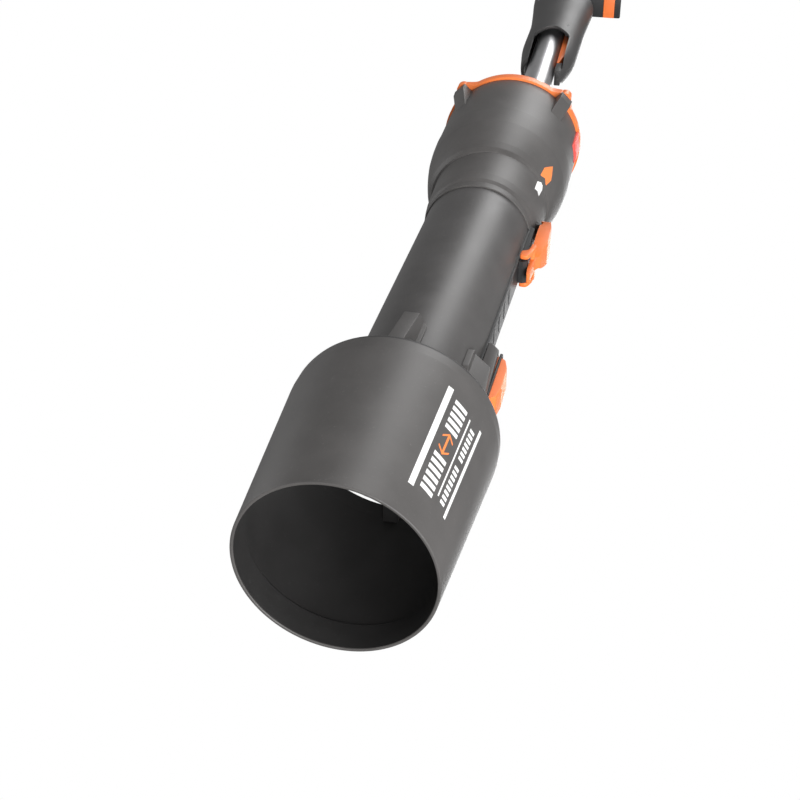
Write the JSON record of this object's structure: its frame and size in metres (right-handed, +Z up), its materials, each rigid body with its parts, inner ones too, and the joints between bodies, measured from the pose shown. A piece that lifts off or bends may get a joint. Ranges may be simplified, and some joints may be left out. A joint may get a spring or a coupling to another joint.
{
  "type": "leaf blower",
  "caption": "Cordless pole leaf blower with a sliding shrouded nozzle, in-line axial fan, adjustable aluminium pole and a battery handle.",
  "frame": {"origin": "centre of the nozzle's mouth", "axes": "+X the way the air leaves the nozzle, +Y to the user's left, +Z up with the trigger below the grip"},
  "size_m": [1.1004, 0.1308, 0.1412],
  "materials": {
    "body_plastic": "fine spark-eroded texture, dark grey",
    "tube_plastic": "satin dark grey",
    "orange_plastic": "satin orange",
    "pole_metal": "satin anodised",
    "soft_grip": "matt soft touch",
    "seal_rubber": "matt",
    "steel": "bright",
    "spring_steel": "drawn wire",
    "inner_plastic": "black",
    "copper": "enamelled windings",
    "iron": "laminated",
    "board": "circuit board",
    "cell_wrap": "shrink wrap",
    "brass": "bright"
  },
  "bodies": {
    "fan_unit": {"blow_tube": "tube_plastic", "tube_seal": "seal_rubber", "latch_bracket": "inner_plastic", "latch_pin": "steel", "fan_housing": "body_plastic", "flange_ring": "orange_plastic", "flange_screws": "steel", "stator_vanes": "inner_plastic", "tail_cone": "inner_plastic", "motor_front_plate": "iron", "motor_stator": "iron", "motor_windings": "copper", "motor_bearings": "steel", "intake_guard": "body_plastic", "pole_socket": "body_plastic", "socket_screw": "steel", "pole": "pole_metal", "power_lead": "seal_rubber"},
    "rotor": {"motor_rotor": "iron", "motor_shaft": "steel", "impeller": "inner_plastic", "impeller_spinner": "inner_plastic", "impeller_nut": "steel"},
    "nozzle": {"nozzle_shroud": "body_plastic", "button_spring": "spring_steel"},
    "nozzle_release": {"nozzle_button": "orange_plastic"},
    "latch": {"tube_latch": "orange_plastic"},
    "handle": {"handle_left": "body_plastic", "handle_right": "body_plastic", "handle_screws": "steel", "grip_pad": "soft_grip", "pole_bush": "inner_plastic", "lever_pin": "steel", "trigger_pin": "steel", "trigger_switch": "inner_plastic", "control_board": "board", "battery_dock": "body_plastic", "dock_terminals": "brass"},
    "length_release": {"length_lever": "orange_plastic"},
    "trigger_body": {"trigger": "inner_plastic", "trigger_inlay": "orange_plastic"},
    "lock_off": {"lock_button": "orange_plastic"},
    "battery": {"battery_case": "body_plastic", "battery_cells": "cell_wrap"},
    "battery_release": {"battery_latch": "orange_plastic"}
  },
  "joints": [
    {"name": "rotor_spin", "type": "hinge", "parent": "fan_unit", "child": "rotor", "pos_m": [-0.37, 0, 0], "axis": [0.9998, 0, -0.0209], "continuous": true},
    {"name": "nozzle_slide", "type": "slide", "parent": "fan_unit", "child": "nozzle", "axis": [1, 0, 0], "range_m": [-0.065, 0]},
    {"name": "nozzle_button_press", "type": "slide", "parent": "nozzle", "child": "nozzle_release", "axis": [0, 0, 1], "range_m": [0, 0.0022], "stiffness_N_per_m": 600, "springref_m": -0.004, "deforming": ["button_spring"]},
    {"name": "latch_hinge", "type": "hinge", "parent": "fan_unit", "child": "latch", "pos_m": [-0.338, 0, -0.0425], "axis": [0, -1, 0], "range_deg": [0, 12], "stiffness_Nm_per_rad": 0.35, "springref_deg": -22.92},
    {"name": "handle_slide", "type": "slide", "parent": "fan_unit", "child": "handle", "axis": [-0.9991, 0, 0.0427], "range_m": [-0.03, 0.06]},
    {"name": "length_lever_hinge", "type": "hinge", "parent": "handle", "child": "length_release", "pos_m": [-0.76248, 0, -0.00742], "axis": [0, 1, 0], "range_deg": [0, 3.5], "stiffness_Nm_per_rad": 1, "springref_deg": -11.46},
    {"name": "trigger_hinge", "type": "hinge", "parent": "handle", "child": "trigger_body", "pos_m": [-0.86755, 0, -0.00693], "axis": [0, 1, 0], "range_deg": [0, 11], "stiffness_Nm_per_rad": 0.5, "springref_deg": -20.05},
    {"name": "lock_button_press", "type": "slide", "parent": "handle", "child": "lock_off", "axis": [-0.0427, 0, -0.9991], "range_m": [0, 0.0025], "stiffness_N_per_m": 500, "springref_m": -0.004},
    {"name": "battery_slide", "type": "slide", "parent": "handle", "child": "battery", "axis": [-0.0427, 0, -0.9991], "range_m": [0, 0.06]},
    {"name": "battery_latch_press", "type": "slide", "parent": "battery", "child": "battery_release", "axis": [-0.0427, 0, -0.9991], "range_m": [0, 0.0015], "stiffness_N_per_m": 800, "springref_m": -0.003}
  ]
}
